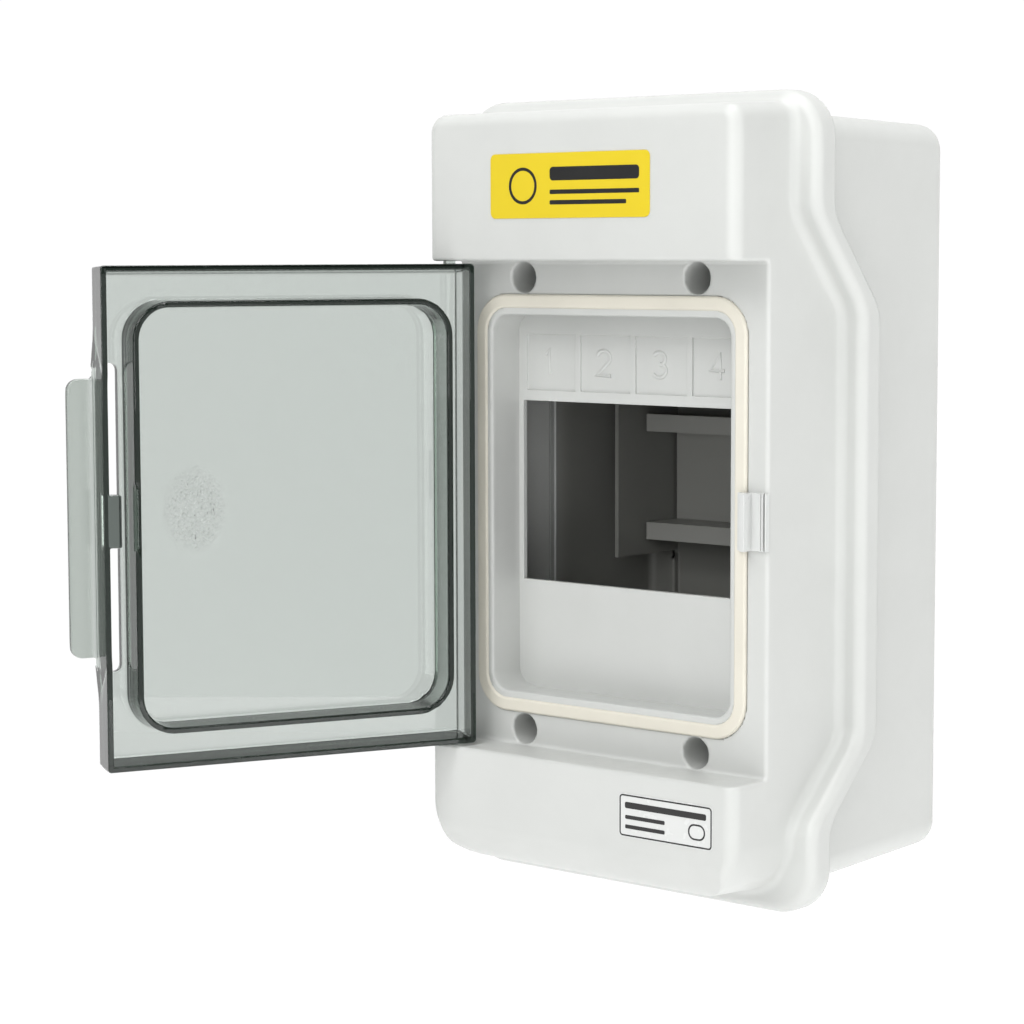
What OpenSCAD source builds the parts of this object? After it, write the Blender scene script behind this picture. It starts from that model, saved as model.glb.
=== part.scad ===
/* [Enclosure] */
// Width across the flange between cover and back box
flange_w = 114; // [113:0.5:118]
// Height across the flange
flange_h = 203.4; // [203:0.2:208]
// Width of the cover in front of the flange
cover_w = 100; // [99:0.5:100.5]
// Depth from the wall to the front of the cover's shoulders
depth = 93.3; // [92:0.1:95]
// Wall thickness of the cover
cover_t = 2.2; // [2:0.1:2.6]
// Wall thickness of the back box
box_t = 2.4; // [2:0.1:2.6]

/* [Door] */
// How far the door stands open
door_open = 114; // [0:1:180]
// Depth of the recess that the door closes into
recess_d = 13.3; // [13:0.1:14]
// Height of the door
door_h = 124.1; // [122:0.1:124.6]
// Depth of the door's rim
door_d = 10.4; // [9:0.1:10.5]
// Diameter of the moulded hinge pins
pin_d = 3.2; // [2.6:0.1:3.4]
// Radial clearance of the hinge pins in the cover
pin_fit = 0.05; // [0.02:0.01:0.1]

/* [Device window] */
// Number of rail devices, each 18 mm wide
ways = 4; // [4:1:4]
// Width of one way in the window
way_w = 18.2; // [17.8:0.1:18.3]
// Height of the window
window_h = 47.5; // [45:0.5:48]
// Width across the rail's lips
rail_w = 35; // [35:1:35]

/* [Fixings] */
// Distance between the wall fixings across the width
fix_x = 70; // [66:1:74]
// Distance between the wall fixings along the height
fix_z = 160; // [152:1:164]
// Diameter of the wall fixing holes
fix_d = 5.2; // [4.2:0.1:6]
// Diameter of the cable knock-outs
knockout_d = 20.4; // [16.4:0.1:20.4]

/* [Hidden] */
$fn = 72;
e = 0.01;
far = 140;

// Front to back, the wall being y = 0 and the front towards -y
front_y = -depth;
recess_y = front_y + recess_d;
panel_y = recess_y + 10.7;
panel_t = 1.5;
panel_x = -0.5;
window_z = -0.25;

// The recess is a saddle, open to both sides, between an upper and a lower shoulder
recess_z = -3;
recess_half = 63.2;
cover_top = 98;
cover_bottom = -96.5;
corner_r = 4.5;
corner_chamfer = 8.5;
edge_r = 3.5;
chin_r = 9;

// The flange steps back along the sides: y at the ends, y along the middle, and its bends
flange_end_y = -70.3;
flange_mid_y = -50;
flange_t = 7.8;
flange_r = 12;
bend_z = [71.9, 48, -59.5, -79];
groove_d = 3.2;
groove_grow = 1.7;
rim_in = 1.7;
seal_t = 1.4;
seal_grow = [1.5, -0.8];

// The back box narrows towards the wall
box_half_w = 48.8;
box_half_h = 95.3;
box_r = 7;
draft = 0.02;
box_front_y = -67;
box_back_round = [[3.2, 0], [1.1, 1], [0, 3.4]];
collar_t = 2.6;
collar_h = 3;
knockout_x = 21;
knockout_y = -31;
score_w = 0.8;
score_d = 0.68;

// The well behind the door, its seal and the window in its floor
well_half = [38.6, 49.3];
well_r = 4.8;
well_t = 2.2;
lip_proud = 0.4;
seal_out = [43.4, 54.4];
seal_in = [40.3, 51.3];
seal_r = 9.5;
seal_groove_d = 1.8;
seal_proud = 0.9;
seat_r = 10.5;
seat_half = [45, 55.6];
seat_t = 4.4;
window_half = [ways * way_w / 2 + 0.4, window_h / 2];
pocket_z = [26.3, 41];
pocket_rib = 1.7;
pocket_d = 0.6;
digit_h = 6.4;
digit_t = 0.8;
digit_proud = 0.35;
digit_x = -0.85;

// Cover screws stand in deep tubes and run into inserts in the box's pillars
screw_x = 28;
screw_z = [56, -62];
tube_r = 5.4;
tube_bore_r = 4;
tube_end_y = -52;
tube_floor = 2.5;
pillar_r = 4.8;
pillar_gap = 0.3;
insert_r = 2.8;
insert_l = 8;
m4_r = 2;
m4_core_r = 2.05;
m4_gap = 0.3;
m4_reach = 7;
insert_fit = 0.02;
insert_room = 3;
washer_r = 3.7;
washer_t = 1;
washer_fit = 0.1;
head_r = 3.6;
head_h = 2.6;
touch = 0.02;
cross_l = 1.2;
cross_w = 0.3;

// Rail, partitions and their bosses
wall_in_y = -box_t;
rail_front_y = -18;
lip_h = 4.8;
lip_t = 2.2;
rail_len = 72.2;
rail_base_t = 1.6;
rail_lug_z = 24;
rail_lug_half = [6.5, 5];
rail_lug_t = 2;
rail_hole_r = 1.9;
rail_boss_r = 4;
rail_screw = [1.45, 3.2, 2];
rail_core_r = 1.5;
boss_h = 6;
partition_x = 37;
partition_t = 1.2;
partition_half = 21.8;
partition_front_y = -29.4;
partition_tab_z = 14;
tab_x = 42.3;
tab_end = 3;
tab_half = 3.5;
tab_t = 1.8;
tab_boss_r = 2.9;
tab_hole_r = 1.6;
tab_screw = [1.25, 2.6, 1.6];
core_r = 1.3;
screw_skin = 0.8;
guide_rib_h = 2;
guide_rib_z = 32;
guide_rib_half = 9.7;

// Terminal bars
bar_z = 78;
bar_len = 40;
bar_s = 7;
bar_ways = 5;
holder_half = 27;
holder_boss_h = 4;
holder_t = 3.4;
holder_screw_x = 23.4;
holder_boss_r = 3.2;
cradle_gap = 0.1;
cradle_t = 1.4;
cradle_h = 3;
bar_pitch = 7.6;
bar_tall = 9;
wire_r = 2.3;
wire_in = 3.9;
clamp_hole_r = 1.8;
clamp_screw = [1.75, 2.6, 2];
clamp_proud = 0.4;
clamp_reach = 6.4;
holder_screw = [1.25, 2.3, 1.5];

// Door, described closed, and its hinge line
hinge_x = -45.4;
hinge_y = recess_y - 9.3;
door_left = -49.3;
door_right = 49.6;
door_out_y = recess_y - 12.4;
door_rim_y = door_out_y + door_d;
door_t = 2.4;
door_wall = 2;
door_half = door_h / 2;
ring_c = [42, 53];
ring_t = 2;
ring_r = 9;
ring_y = recess_y - 1.25;
pin_l = 5.2;
pin_inset = 1;
socket_r = 3.4;
socket_room = 0.4;
slot_x = [44.9, 48.6];
slot_half = 38.5;
slot_end_r = 1.85;
bow = 1;
handle_x = 57;
handle_half = 34.7;
handle_r = 3;
handle_t = 2.2;
tooth_x = 46;
tooth_z = [-9.7, 3.4];
tooth_h = 3.4;
notch_d = 1.4;
notch_gap = 0.5;

// Catch on the cover for the door's tooth
catch_x = [42, 50.2];
catch_z = [-10, 4.2];
ridge_x = [44.2, 45.6];
ridge_h = 4.2;
catch_t = 0.8;
catch_gap = 0.3;
catch_lip_h = 1.5;
catch_lip_t = 0.5;
catch_foot_h = 1;
tail_x = [45.1, 46.5];
tail_half = 4;
tail_proud = 1.2;
tail_fit = 0.05;

// Labels
yellow_pos = [-1.8, 79];
yellow_size = [51.2, 16.2];
grey_pos = [28.9, -77];
grey_size = [29.2, 11.1];
label_t = 0.2;
label_r = 1.5;
label_gap = 0.01;

shell_c = [0.86, 0.88, 0.87];
brass_c = [0.80, 0.66, 0.34];
steel_c = [0.74, 0.75, 0.76];
black_c = [0.14, 0.14, 0.15];
gasket_c = [0.93, 0.91, 0.84];
catch_c = [0.9, 0.91, 0.9];
rail_c = [0.8, 0.82, 0.81];
holder_c = [0.2, 0.22, 0.24];
yellow_c = [1, 0.83, 0];
grey_c = [0.82, 0.84, 0.83];
smoke_c = [0.42, 0.47, 0.45, 0.5];

// Extrusions of a 2D shape along each axis, from a to b
module along_x(a, b) translate([a, 0, 0]) rotate([90, 0, 90]) linear_extrude(b - a) children();
module along_y(a, b) translate([0, b, 0]) rotate([90, 0, 0]) linear_extrude(b - a) children();
module along_z(a, b) translate([0, 0, a]) linear_extrude(b - a) children();

// Rectangle with rounded corners, from its half sizes
module rounded(half, r) {
    square([2 * half.x, 2 * (half.y - r)], center = true);
    square([2 * (half.x - r), 2 * half.y], center = true);
    for (sx = [-1, 1], sy = [-1, 1])
        translate([sx * (half.x - r), sy * (half.y - r)]) circle(r);
}

// Ring between two rounded rectangles
module frame2d(outer, inner, r) difference() {
    rounded(outer, r);
    rounded(inner, r - (outer.x - inner.x));
}

module cyl_y(x, z, r, a, b) translate([x, b, z]) rotate([90, 0, 0]) cylinder(r = r, h = b - a);
module block(a, b) translate(a) cube(b - a);

// The stepped line of the flange in the side view, moved by dy
function wave(dy) = [
    [flange_end_y + dy, far], [flange_end_y + dy, bend_z[0]],
    [flange_mid_y + dy, bend_z[1]], [flange_mid_y + dy, bend_z[2]],
    [flange_end_y + dy, bend_z[3]], [flange_end_y + dy, -far]
];
function reversed(v) = [for (i = [len(v) - 1:-1:0]) v[i]];
module wave_band(dy0, dy1) along_x(-far, far) polygon(concat(wave(dy0), reversed(wave(dy1))));
module wave_front(dy) along_x(-far, far) polygon(concat(wave(dy), [[-far, -far], [-far, far]]));
module wave_back(dy) along_x(-far, far) polygon(concat(wave(dy), [[far, -far], [far, far]]));

// Cover outlines: from the front, from the side and from above, t inside the outer face
module cover_front2d(t) {
    w = cover_w / 2 - t;
    top = cover_top - t;
    bottom = cover_bottom + t;
    r = corner_r - t;
    c = corner_chamfer;
    polygon([
        [-w, top - r], [-w, bottom + c], [c - w, bottom], [w - c, bottom], [w, bottom + c], [w, top - r]
    ]);
    translate([r - w, 0]) square([2 * (w - r), top]);
    for (s = [-1, 1]) translate([s * (w - r), top - r]) circle(r);
}

module cover_side2d(t) {
    f = front_y + t;
    top = cover_top - t;
    bottom = cover_bottom + t;
    r = edge_r;
    difference() {
        union() {
            translate([f + r, bottom]) square([far, top - bottom]);
            translate([f, bottom]) square([far, top - r - bottom]);
            translate([f + r, top - r]) circle(r);
        }
        translate([f, bottom]) difference() {
            translate([-1, -1]) square([chin_r + 1, chin_r + 1]);
            translate([chin_r, chin_r]) circle(chin_r);
        }
        translate([f - 1, recess_z - recess_half - t]) square([recess_d + 1, 2 * (recess_half + t)]);
    }
}

module cover_top2d(t) {
    w = cover_w / 2 - t;
    f = front_y + t;
    r = edge_r - t / 2;
    translate([-w, f + r]) square([2 * w, far]);
    translate([r - w, f]) square([2 * (w - r), far]);
    for (s = [-1, 1]) translate([s * (w - r), f + r]) circle(r);
}

module cover_form(t) intersection() {
    along_y(-far, far) cover_front2d(t);
    along_x(-far, far) cover_side2d(t);
    along_z(-far, far) cover_top2d(t);
}

module at_recess() translate([0, 0, recess_z]) children();

// Thin strokes of the way numbers
module stroke(p, q) {
    d = q - p;
    translate(p) rotate(atan2(d.y, d.x)) translate([0, -digit_t / 2]) square([norm(d), digit_t]);
    for (v = [p, q]) translate(v) circle(digit_t / 2);
}

// Arc band of a circle about the origin, from angle a to angle b, up to a half turn
module arc2d(r, a, b) difference() {
    circle(r + digit_t / 2);
    circle(r - digit_t / 2);
    rotate(a) translate([-far, -far]) square([2 * far, far]);
    rotate(b) translate([-far, 0]) square([2 * far, far]);
}

module digit(n) {
    h = digit_h / 2;
    r = h / 2;
    flag = 1.4;
    stem = 0.8;
    foot = -1;
    wing = 2;
    if (n == 1) {
        stroke([0, -h], [0, h]);
        stroke([0, h], [-flag, h - flag]);
    }
    if (n == 2) {
        translate([0, r]) arc2d(r, 0, 180);
        stroke([r, r], [-r, -h]);
        stroke([-r, -h], [r, -h]);
    }
    if (n == 3) {
        for (s = [-1, 1]) {
            translate([0, s * r]) arc2d(r, -90, 90);
            stroke([0, s * h], [-r, s * h]);
        }
        stroke([0, 0], [-stem, 0]);
    }
    if (n == 4) {
        stroke([stem, -h], [stem, h]);
        stroke([stem, h], [-wing, foot]);
        stroke([-wing, foot], [wing, foot]);
    }
}

module front_cover() color(shell_c) {
    cover_body();
    // way numbers, raised on the floors of their fields
    for (i = [0:ways - 1]) translate([way_x(i) + digit_x, 0, mid(pocket_z)])
        along_y(panel_y + pocket_d - digit_proud, panel_y + pocket_d + e) digit(i + 1);
}

function mid(v) = (v[0] + v[1]) / 2;
function way_x(i) = panel_x + (i - (ways - 1) / 2) * way_w;

module cover_body() difference() {
    union() {
        difference() {
            union() {
                intersection() {
                    cover_form(0);
                    wave_front(e);
                }
                intersection() {
                    along_y(-far, 0) rounded([flange_w / 2, flange_h / 2], flange_r);
                    wave_band(0, flange_t);
                }
            }
            cover_form(cover_t);
            intersection() {
                along_y(-far, 0) rounded([box_half_w + groove_grow, box_half_h + groove_grow], box_r);
                wave_band(flange_t - groove_d, flange_t + 1);
            }
        }
        // well, gasket seat, screw tubes and hinge bosses
        at_recess() along_y(recess_y, panel_y + panel_t)
            rounded(well_half + [well_t, well_t], well_r + well_t);
        at_recess() along_y(recess_y, recess_y + seat_t) rounded(seat_half, seat_r);
        at_recess() along_y(recess_y - lip_proud, recess_y + e)
            rounded(seal_in, seal_r - (seal_out.x - seal_in.x));
        for (x = [-screw_x, screw_x], z = screw_z) cyl_y(x, z, tube_r, recess_y + e, tube_end_y);
        for (s = [-1, 1]) translate([hinge_x, hinge_y, recess_z + s * (recess_half + pin_l + 1)])
            cylinder(r = socket_r, h = 2 * pin_l, center = true);
    }
    at_recess() along_y(recess_y - 1, panel_y) rounded(well_half, well_r);
    along_y(panel_y - 1, panel_y + panel_t + 1)
        translate([panel_x, window_z]) square(2 * window_half, center = true);
    at_recess() along_y(recess_y - 1, recess_y + seal_groove_d) frame2d(seal_out, seal_in, seal_r);
    for (i = [0:ways - 1]) block(
        [way_x(i) - (way_w - pocket_rib) / 2, panel_y - 1, pocket_z[0]],
        [way_x(i) + (way_w - pocket_rib) / 2, panel_y + pocket_d, pocket_z[1]]);
    for (x = [-screw_x, screw_x], z = screw_z) {
        cyl_y(x, z, tube_bore_r, recess_y - 1, tube_end_y - tube_floor);
        cyl_y(x, z, m4_r + m4_gap, recess_y, tube_end_y + 1);
    }
    for (s = [-1, 1]) translate([hinge_x, hinge_y, recess_z + s * recess_half])
        cylinder(r = pin_d / 2 + pin_fit, h = 2 * (pin_l - pin_inset + socket_room), center = true);
    block([tail_x[0] - tail_fit, recess_y - 1, mid(catch_z) - tail_half - tail_fit],
        [tail_x[1] + tail_fit, recess_y + seat_t + 1, mid(catch_z) + tail_half + tail_fit]);
}

// Slab of the drafted back box at a given y, inset from its outer face
module box_slab(y, inset) {
    grow = -draft * y - inset;
    along_y(y - e, y + e) rounded([box_half_w + grow, box_half_h + grow], max(box_r - inset, 1), $fn = 32);
}

module wall_boss(x, z, r, h) cyl_y(x, z, r, -box_t - h, -e);

module back_box() color(shell_c) difference() {
    union() {
        intersection() {
            difference() {
                hull() {
                    for (v = box_back_round) box_slab(-v[1] - e, v[0]);
                    box_slab(box_front_y, 0);
                }
                hull() {
                    box_slab(wall_in_y - e, box_t + 1.5);
                    box_slab(wall_in_y - 2, box_t);
                    box_slab(box_front_y - 1, box_t);
                }
            }
            wave_back(flange_t - rim_in);
        }
        for (x = [-screw_x, screw_x], z = screw_z) cyl_y(x, z, pillar_r, tube_end_y + pillar_gap, -e);
        for (x = [-1, 1], z = [-1, 1])
            wall_boss(x * fix_x / 2, z * fix_z / 2, fix_d / 2 + collar_t, collar_h);
        for (s = [-1, 1]) {
            rib_x = s * (partition_x + partition_t / 2);
            wall_boss(0, s * rail_lug_z, rail_boss_r, boss_h);
            for (z = [-partition_tab_z, partition_tab_z]) wall_boss(s * tab_x, z, tab_boss_r, boss_h);
            for (x = [-holder_screw_x, holder_screw_x]) wall_boss(x, s * bar_z, holder_boss_r, holder_boss_h);
            // guide ribs in line with the partitions, above and below them
            for (z = [-guide_rib_z, guide_rib_z]) block(
                [rib_x - partition_t / 2, wall_in_y - guide_rib_h, z - guide_rib_half],
                [rib_x + partition_t / 2, -e, z + guide_rib_half]);
        }
    }
    for (x = [-1, 1], z = [-1, 1]) {
        cyl_y(x * fix_x / 2, z * fix_z / 2, fix_d / 2, -far, 1);
        // knock-outs, each a thin web inside a round score line in the top and bottom walls
        translate([x * knockout_x, knockout_y, z * (box_half_h - draft * knockout_y)]) difference() {
            cylinder(d = knockout_d + 2 * score_w, h = 2 * score_d, center = true);
            cylinder(d = knockout_d, h = 4 * score_d, center = true);
        }
    }
    for (x = [-screw_x, screw_x], z = screw_z)
        cyl_y(x, z, insert_r + insert_fit, tube_end_y, tube_end_y + pillar_gap + insert_l + insert_room);
    for (s = [-1, 1]) {
        cyl_y(0, s * rail_lug_z, rail_core_r, -far, wall_in_y - screw_skin / 2);
        for (z = [-partition_tab_z, partition_tab_z])
            cyl_y(s * tab_x, z, core_r, -far, wall_in_y - screw_skin / 2);
        for (x = [-holder_screw_x, holder_screw_x]) cyl_y(x, s * bar_z, core_r, -far, wall_in_y + screw_skin);
    }
}

module cover_seal() color(black_c) intersection() {
    along_y(-far, 0) frame2d(
        [box_half_w + seal_grow[0], box_half_h + seal_grow[0]],
        [box_half_w + seal_grow[1], box_half_h + seal_grow[1]], box_r);
    wave_band(flange_t - groove_d + touch, flange_t - groove_d + seal_t);
}

module door_gasket() color(gasket_c) at_recess()
    along_y(recess_y - seal_proud, recess_y + seal_groove_d)
        frame2d(seal_out - [touch, touch], seal_in + [touch, touch], seal_r);

module latch_catch() color(catch_c) {
    h = seal_proud + catch_gap;
    z0 = catch_z[0];
    z1 = catch_z[1];
    block([catch_x[0], recess_y - h - catch_t, z0], [ridge_x[1], recess_y - h, z1]);
    block([ridge_x[0], recess_y - ridge_h, z0], [ridge_x[1], recess_y, z1]);
    block([ridge_x[0], recess_y - catch_foot_h, z0], [catch_x[1], recess_y, z1]);
    block([tail_x[0], recess_y - e, mid(catch_z) - tail_half],
        [tail_x[1], recess_y + seat_t + tail_proud, mid(catch_z) + tail_half]);
    block([catch_x[1] - catch_lip_t, recess_y - catch_lip_h, z0], [catch_x[1], recess_y - e, z1]);
}

// Top-hat rail with two screwed lugs
module din_rail() color(rail_c) {
    half = rail_w / 2;
    foot_y = wall_in_y - touch;
    difference() {
        union() {
            along_x(-rail_len / 2, rail_len / 2) {
                for (s = [-1, 1]) {
                    translate([rail_front_y, s > 0 ? half - lip_h : -half]) square([lip_t, lip_h]);
                    translate([rail_front_y, s > 0 ? half - lip_h : lip_h - half - lip_t])
                        square([foot_y - rail_front_y, lip_t]);
                }
                translate([foot_y - rail_base_t, lip_h - half]) square([rail_base_t, 2 * (half - lip_h)]);
            }
            for (s = [0, 1]) mirror([0, 0, s]) block(
                [-rail_lug_half[0], foot_y - boss_h - rail_lug_t, half - lip_h + e],
                [rail_lug_half[0], foot_y - boss_h, rail_lug_z + rail_lug_half[1]]);
        }
        for (s = [-1, 1]) cyl_y(0, s * rail_lug_z, rail_hole_r, -far, 0);
    }
}

// Pan-head screw along y, its size as [shank radius, head radius, head thickness],
// its head's underside at y = a and its tip at y = b
module screw(x, z, size, a, b) difference() {
    union() {
        cyl_y(x, z, size[1], a - size[2], a);
        cyl_y(x, z, size[0], a - e, b);
    }
    for (t = [0, 90]) translate([x, a - size[2], z]) rotate([0, t, 0])
        cube([size[1] * cross_l, size[2], size[1] * cross_w], center = true);
}

module rail_screws() color(steel_c) for (s = [-1, 1])
    screw(0, s * rail_lug_z, rail_screw, wall_in_y - boss_h - rail_lug_t - 2 * touch, wall_in_y - screw_skin);

// Side plate beside the devices, with two tabs screwed to the back box
module partition() difference() {
    union() {
        block([partition_x, partition_front_y, -partition_half],
            [partition_x + partition_t, wall_in_y - touch, partition_half]);
        for (z = [-partition_tab_z, partition_tab_z]) block(
            [partition_x, wall_in_y - boss_h - tab_t - touch, z - tab_half],
            [tab_x + tab_end, wall_in_y - boss_h - touch, z + tab_half]);
    }
    for (z = [-partition_tab_z, partition_tab_z]) cyl_y(tab_x, z, tab_hole_r, -far, 0);
}

module partition_left() color(shell_c) mirror([1, 0, 0]) partition();
module partition_right() color(shell_c) partition();

module partition_screws() color(steel_c) for (s = [-1, 1], z = [-partition_tab_z, partition_tab_z])
    screw(s * tab_x, z, tab_screw, wall_in_y - boss_h - tab_t - 2 * touch, wall_in_y - screw_skin);

module cover_screws() color(steel_c) for (x = [-screw_x, screw_x], z = screw_z)
    screw(x, z, [m4_r, head_r, head_h],
        tube_end_y - tube_floor - washer_t - 2 * touch, tube_end_y + pillar_gap + m4_reach);

module cover_screw_washers() color(black_c) for (x = [-screw_x, screw_x], z = screw_z) difference() {
    cyl_y(x, z, washer_r, tube_end_y - tube_floor - washer_t - touch, tube_end_y - tube_floor - touch);
    cyl_y(x, z, m4_r + washer_fit, -far, 0);
}

module cover_screw_inserts() color(brass_c) for (x = [-screw_x, screw_x], z = screw_z) difference() {
    cyl_y(x, z, insert_r, tube_end_y + pillar_gap, tube_end_y + pillar_gap + insert_l);
    cyl_y(x, z, m4_core_r, -far, 0);
}

// Terminal bar: a brass bar in a plastic cradle, with one clamping screw per wire hole
module bar_holder(z) color(holder_c) difference() {
    y1 = wall_in_y - holder_boss_h - touch;
    lip = bar_s / 2 + cradle_gap;
    union() {
        block([-holder_half, y1 - holder_t, z - lip - cradle_t], [holder_half, y1, z + lip + cradle_t]);
        for (s = [0, 1]) translate([0, 0, z]) mirror([0, 0, s]) block(
            [-bar_len / 2 - cradle_t, y1 - holder_t - cradle_h, lip],
            [bar_len / 2 + cradle_t, y1 - e, lip + cradle_t]);
    }
    for (x = [-holder_screw_x, holder_screw_x]) cyl_y(x, z, tab_hole_r, -far, 0);
}

bar_back_y = wall_in_y - holder_boss_h - holder_t - 2 * touch;
function bar_hole_x(i) = (i - (bar_ways - 1) / 2) * bar_pitch;

module bar(z) color(brass_c) difference() {
    block([-bar_len / 2, bar_back_y - bar_tall, z - bar_s / 2], [bar_len / 2, bar_back_y, z + bar_s / 2]);
    for (i = [0:bar_ways - 1]) {
        translate([bar_hole_x(i), bar_back_y - wire_in, z])
            cylinder(r = wire_r, h = 2 * bar_s, center = true);
        cyl_y(bar_hole_x(i), z, clamp_hole_r, -far, bar_back_y - wire_in);
    }
}

module bar_screws(z) color(steel_c) for (i = [0:bar_ways - 1])
    screw(bar_hole_x(i), z, clamp_screw, bar_back_y - bar_tall - clamp_proud, bar_back_y - clamp_reach);

module earth_bar_holder() bar_holder(bar_z);
module earth_bar() bar(bar_z);
module earth_bar_screws() bar_screws(bar_z);
module negative_bar_holder() bar_holder(-bar_z);
module negative_bar() bar(-bar_z);
module negative_bar_screws() bar_screws(-bar_z);

module bar_holder_screws() color(steel_c) for (x = [-holder_screw_x, holder_screw_x], z = [-bar_z, bar_z])
    screw(x, z, holder_screw, wall_in_y - holder_boss_h - holder_t - 3 * touch, wall_in_y + screw_skin / 2);

module label(pos, size) translate([pos.x, 0, pos.y])
    along_y(front_y - label_t - label_gap, front_y - label_gap) rounded(size / 2, label_r);
module yellow_label() color(yellow_c) label(yellow_pos, yellow_size);
module grey_label() color(grey_c) label(grey_pos, grey_size);

// Transparent door, moulded in one with its pins, ring, tooth and handle
module door_closed() {
    slot_mid = mid(slot_x);
    difference() {
        union() {
            at_recess() block([door_left, door_out_y, -door_half], [door_right, door_rim_y, door_half]);
            at_recess() block([slot_x[0], door_out_y, -slot_half - door_wall],
                [door_right + bow, door_rim_y, slot_half + door_wall]);
        }
        at_recess() block([door_left + door_wall, door_out_y + door_t, -door_half + door_wall],
            [door_right - door_wall, 0, door_half - door_wall]);
        at_recess() block([slot_x[0], door_out_y + door_t, -slot_half],
            [door_right + bow - door_wall, 0, slot_half]);
        at_recess() along_y(door_out_y - 1, door_rim_y) {
            translate([slot_x[0], slot_end_r - slot_half])
                square([slot_x[1] - slot_x[0], 2 * (slot_half - slot_end_r)]);
            for (s = [-1, 1]) translate([slot_mid, s * (slot_half - slot_end_r)])
                circle((slot_x[1] - slot_x[0]) / 2);
        }
    }
    at_recess() difference() {
        along_y(door_out_y + e, ring_y) frame2d(
            ring_c + [ring_t / 2, ring_t / 2], ring_c - [ring_t / 2, ring_t / 2], ring_r + ring_t / 2);
        block([0, ring_y - notch_d, catch_z[0] - recess_z - notch_gap],
            [far, 0, catch_z[1] - recess_z + notch_gap]);
    }
    // tooth on the sprung edge, and the handle outside it
    block([tooth_x, door_rim_y - tooth_h, tooth_z[0]],
        [door_right + bow - door_wall + 1, door_rim_y, tooth_z[1]]);
    at_recess() along_y(door_out_y, door_out_y + handle_t) intersection() {
        translate([handle_x - handle_half, 0]) rounded([handle_half, handle_half], handle_r);
        translate([door_right + bow - 1, -far]) square([far, 2 * far]);
    }
    at_recess() for (s = [0, 1]) mirror([0, 0, s]) translate([hinge_x, hinge_y, door_half - pin_inset])
        cylinder(d = pin_d, h = pin_l);
}

module door() color(smoke_c) translate([hinge_x, hinge_y, 0]) rotate([0, 0, -door_open])
    translate([-hinge_x, -hinge_y, 0]) door_closed();

back_box();
front_cover();
cover_seal();
door_gasket();
latch_catch();
din_rail();
rail_screws();
partition_left();
partition_right();
partition_screws();
cover_screws();
cover_screw_washers();
cover_screw_inserts();
earth_bar_holder();
earth_bar();
earth_bar_screws();
negative_bar_holder();
negative_bar();
negative_bar_screws();
bar_holder_screws();
yellow_label();
grey_label();
door();
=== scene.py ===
import math

import bmesh
import bpy
import numpy as np
from mathutils import Matrix, Vector


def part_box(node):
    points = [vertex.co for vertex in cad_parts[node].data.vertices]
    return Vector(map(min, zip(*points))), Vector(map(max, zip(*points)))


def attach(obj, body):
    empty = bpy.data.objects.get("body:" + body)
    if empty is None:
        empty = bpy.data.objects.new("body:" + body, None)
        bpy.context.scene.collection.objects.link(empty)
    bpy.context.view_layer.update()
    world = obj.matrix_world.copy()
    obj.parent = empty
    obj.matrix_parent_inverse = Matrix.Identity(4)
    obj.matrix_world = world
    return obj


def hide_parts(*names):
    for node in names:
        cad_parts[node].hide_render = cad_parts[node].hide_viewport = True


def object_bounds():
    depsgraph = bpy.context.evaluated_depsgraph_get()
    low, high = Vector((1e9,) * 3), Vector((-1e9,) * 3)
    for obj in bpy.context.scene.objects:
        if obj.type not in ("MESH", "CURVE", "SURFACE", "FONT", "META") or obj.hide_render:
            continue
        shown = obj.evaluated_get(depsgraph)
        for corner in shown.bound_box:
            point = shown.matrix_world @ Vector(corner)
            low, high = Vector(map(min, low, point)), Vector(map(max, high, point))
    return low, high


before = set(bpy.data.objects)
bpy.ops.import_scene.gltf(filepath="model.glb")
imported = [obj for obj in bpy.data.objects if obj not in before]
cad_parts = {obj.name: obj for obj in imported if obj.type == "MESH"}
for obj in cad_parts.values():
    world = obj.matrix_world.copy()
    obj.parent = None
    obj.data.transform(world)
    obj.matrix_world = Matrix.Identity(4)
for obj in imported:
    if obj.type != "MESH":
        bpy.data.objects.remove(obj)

cad_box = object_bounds()
MM = 0.001

# ---------------------------------------------------------------- sizes, in millimetres, as in the CAD
# How far a wall starts inside the one that carries it, and a cut runs past the surface that it opens.
OVERLAP = 1.0

# The cover: drafted walls, and a wide recess between two shoulders.
FRONT_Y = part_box("front_cover")[0].y / MM
RECESS_DEPTH = 13.3
RECESS_Y = FRONT_Y + RECESS_DEPTH
RECESS_Z, RECESS_HALF = -3.0, 63.2
COVER_W, COVER_TOP, COVER_BOTTOM, COVER_T = 49.6, 97.6, 95.6, 2.2
SIDE_DRAFT, TOP_RISE, BOTTOM_FALL = 0.014, 0.05, 0.06
CORNER_R, CHAMFER, CHAMFER_R, EDGE_R, CHIN_R = 4.5, 8.5, 4.5, 3.4, 9.5
RECESS_FLOOR_R, SHOULDER_R = 0.8, 0.9

# The flange around its foot, whose front stands further forward at both ends.
FLANGE_HALF = (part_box("front_cover")[1].x / MM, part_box("front_cover")[1].z / MM)
FLANGE_R = 12.0
FLANGE_END_Y, FLANGE_MID_Y, FLANGE_T = -70.3, -50.0, 7.8
BENDS_TOP, BENDS_BOTTOM, BEND_R = (71.9, 48.0), (-79.0, -59.5), 7.0
FLANGE_FRONT_R, FLANGE_BACK_R, FLANGE_FILLET, WALL_LAP = 2.8, 0.7, 2.4, 2.0
GROOVE_HALF, GROOVE_D = (50.5, 97.0), 3.2

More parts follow.
